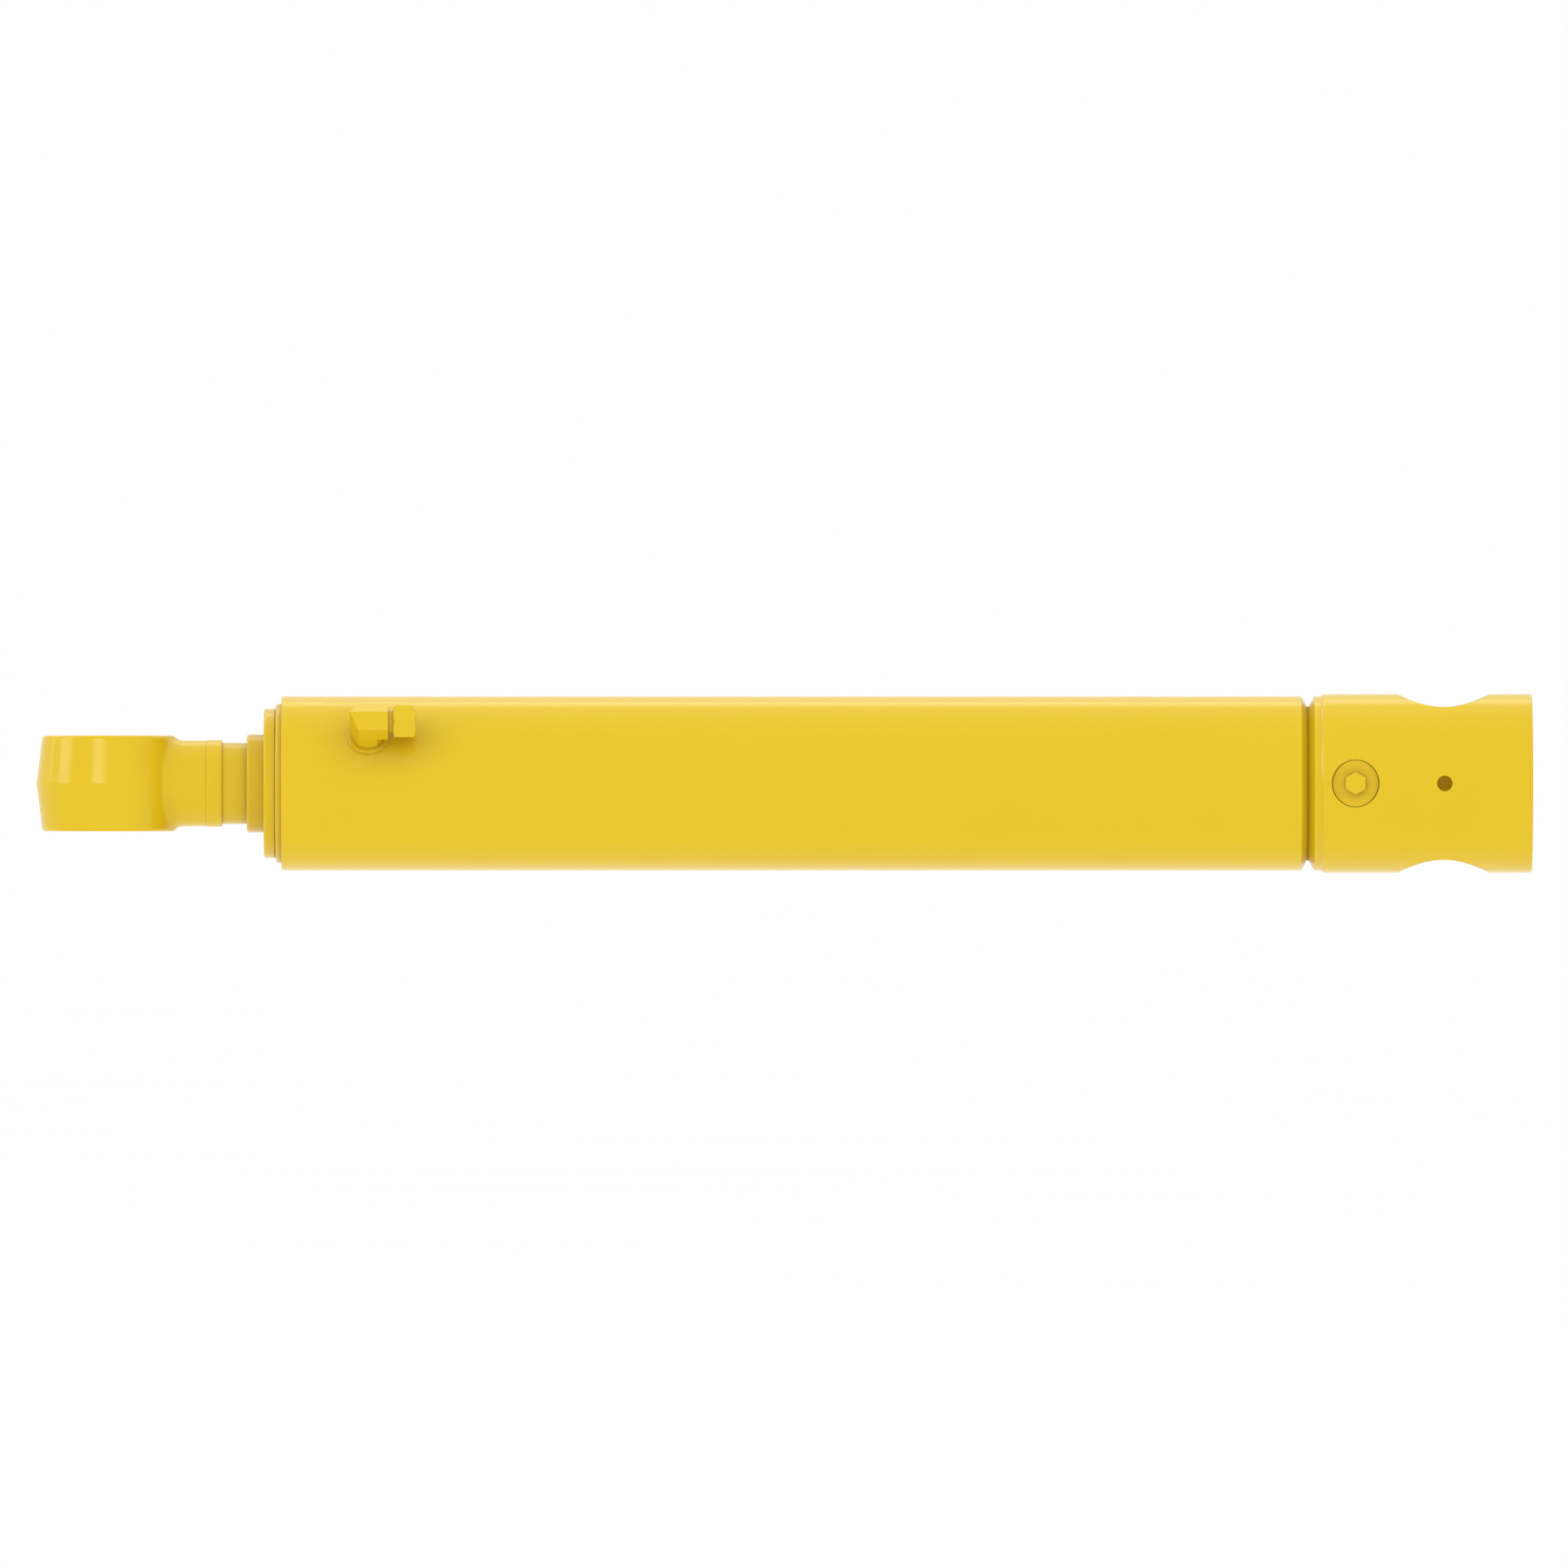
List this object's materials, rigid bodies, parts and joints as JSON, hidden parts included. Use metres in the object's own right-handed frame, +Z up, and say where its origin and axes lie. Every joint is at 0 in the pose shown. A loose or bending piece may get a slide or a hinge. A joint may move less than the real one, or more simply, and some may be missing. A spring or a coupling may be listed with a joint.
{
  "type": "telescopic hydraulic cylinder",
  "caption": "Two-stage double-acting telescopic hydraulic cylinder, shown closed, with a cross-bored base end, a rod eye, a plugged base port and an elbow port near the mouth.",
  "frame": {"origin": "centre of the pin bore in the base end, on the cylinder's axis", "axes": "+X along the cylinder to its closed end, the stages extending along -X; +Z up, along both pin bores; the plugged base port and the lock bolt hole face -Y and the open base port +Y"},
  "size_m": [1.2872, 0.1742, 0.154],
  "materials": {
    "paint": "semi-gloss",
    "painted_weld": "semi-gloss",
    "hard_chrome": "polished",
    "bare_steel": "turned",
    "bush_steel": "ground",
    "seal_rubber": "matt",
    "seal_plastic": "matt"
  },
  "bodies": {
    "barrel": {"base_end": "paint", "base_root_weld": "painted_weld", "base_port_plug": "paint", "base_port_plug_seal": "seal_rubber", "barrel_tube": "paint", "port_boss": "paint", "port_boss_weld": "painted_weld", "port_elbow": "paint", "port_elbow_seal": "seal_rubber", "swivel_nut_wire": "bare_steel", "barrel_gland": "paint", "barrel_gland_wiper": "seal_plastic", "barrel_gland_seal": "seal_plastic", "barrel_gland_bands": "seal_plastic", "barrel_gland_o_ring": "seal_rubber"},
    "swivel_nut": {"swivel_nut": "paint"},
    "stage1": {"stage1_outer_tube": "hard_chrome", "stage1_inner_tube": "bare_steel", "stage1_tube_o_ring": "seal_rubber", "stage1_piston": "bare_steel", "stage1_piston_seal": "seal_plastic", "stage1_piston_energiser": "seal_rubber", "stage1_piston_bands": "seal_plastic", "stage1_piston_o_ring": "seal_rubber", "stage1_stop_sleeve": "bare_steel", "stage1_head": "paint", "stage1_gland": "paint", "stage1_gland_wiper": "seal_plastic", "stage1_gland_seal": "seal_plastic", "stage1_gland_bands": "seal_plastic", "stage1_gland_o_ring": "seal_rubber"},
    "rod_seals": {"rod_piston_seal": "seal_plastic", "rod_piston_bands": "seal_plastic"},
    "rod": {"rod": "hard_chrome", "rod_piston": "bare_steel", "rod_piston_energiser": "seal_rubber", "rod_piston_o_ring": "seal_rubber", "rod_piston_nut": "bare_steel", "rod_stop_sleeve": "bare_steel", "eye_weld_band": "painted_weld", "rod_eye": "paint", "rod_eye_bush": "bush_steel"}
  },
  "joints": [
    {"name": "nut_turn", "type": "hinge", "parent": "barrel", "child": "swivel_nut", "pos_m": [-0.9252, -0.0816, 0.05299], "axis": [1, 0, 0], "continuous": true},
    {"name": "stage1_slide", "type": "slide", "parent": "barrel", "child": "stage1", "axis": [-1, 0, 0], "range_m": [0, 0.734]},
    {"name": "rod_slide", "type": "slide", "parent": "stage1", "child": "rod_seals", "axis": [-1, 0, 0], "range_m": [0, 0.734]},
    {"name": "rod_turn", "type": "hinge", "parent": "rod_seals", "child": "rod", "pos_m": [-1.15, 0, 0], "axis": [1, 0, 0], "continuous": true}
  ]
}
